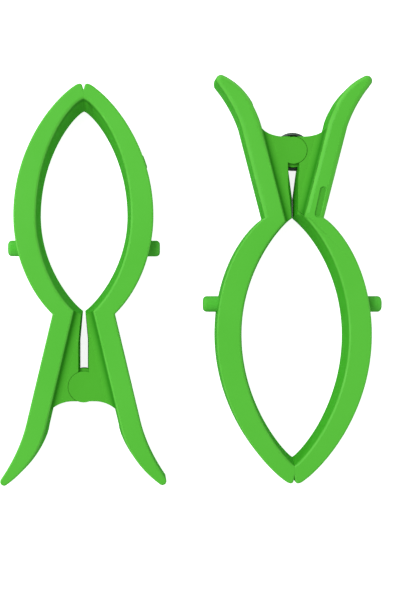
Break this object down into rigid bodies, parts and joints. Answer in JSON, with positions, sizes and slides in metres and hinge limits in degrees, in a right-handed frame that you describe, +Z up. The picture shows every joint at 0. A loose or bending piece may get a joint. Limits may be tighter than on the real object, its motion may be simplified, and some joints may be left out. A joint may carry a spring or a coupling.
{
  "type": "leaf grabber spring clamps",
  "caption": "Pair of hand-squeezed plastic spring clamps with bowed almond-shaped jaws, webbed hinge, flared handles and side pegs.",
  "frame": {"origin": "centre of the pair's footprint, on the surface the clamps lie on", "axes": "+Y along the clamps, towards the jaw tips of the long-handled one and the handles of the other; +X across the pair; +Z up, out of the clamps' front faces"},
  "size_m": [0.216, 0.23, 0.03],
  "materials": {
    "body_plastic": "satin moulded, grass green",
    "peg_plastic": "satin moulded, darker green",
    "spring_steel": "oiled dark spring wire",
    "pin_steel": "drawn steel"
  },
  "bodies": {
    "long_handle_base": {"long_handle_right_half": "body_plastic", "long_handle_right_peg": "peg_plastic", "long_handle_spring_right_end": "spring_steel", "long_handle_pivot_pin": "pin_steel", "long_handle_pin_washer": "pin_steel", "long_handle_side_stud": "peg_plastic"},
    "long_handle_mover": {"long_handle_left_half": "body_plastic", "long_handle_left_peg": "peg_plastic", "long_handle_spring_left_end": "spring_steel"},
    "long_jaw_base": {"long_jaw_right_half": "body_plastic", "long_jaw_right_peg": "peg_plastic", "long_jaw_spring_right_end": "spring_steel", "long_jaw_pivot_pin": "pin_steel", "long_jaw_pin_washer": "pin_steel"},
    "long_jaw_mover": {"long_jaw_left_half": "body_plastic", "long_jaw_left_peg": "peg_plastic", "long_jaw_spring_left_end": "spring_steel"}
  },
  "joints": [
    {"name": "long_handle_squeeze", "type": "hinge", "parent": "long_handle_base", "child": "long_handle_mover", "pos_m": [-0.0614, -0.06005, 0.015], "axis": [0, 0, 1], "range_deg": [0, 30], "stiffness_Nm_per_rad": 3, "springref_deg": -34.38},
    {"name": "long_jaw_lift", "type": "slide", "parent": "long_handle_base", "child": "long_jaw_base", "axis": [0, 0, 1], "range_m": [0, 0.12]},
    {"name": "long_jaw_squeeze", "type": "hinge", "parent": "long_jaw_base", "child": "long_jaw_mover", "pos_m": [0.057, 0.07335, 0.015], "axis": [0, 0, 1], "range_deg": [0, 28], "stiffness_Nm_per_rad": 3, "springref_deg": -34.38}
  ]
}
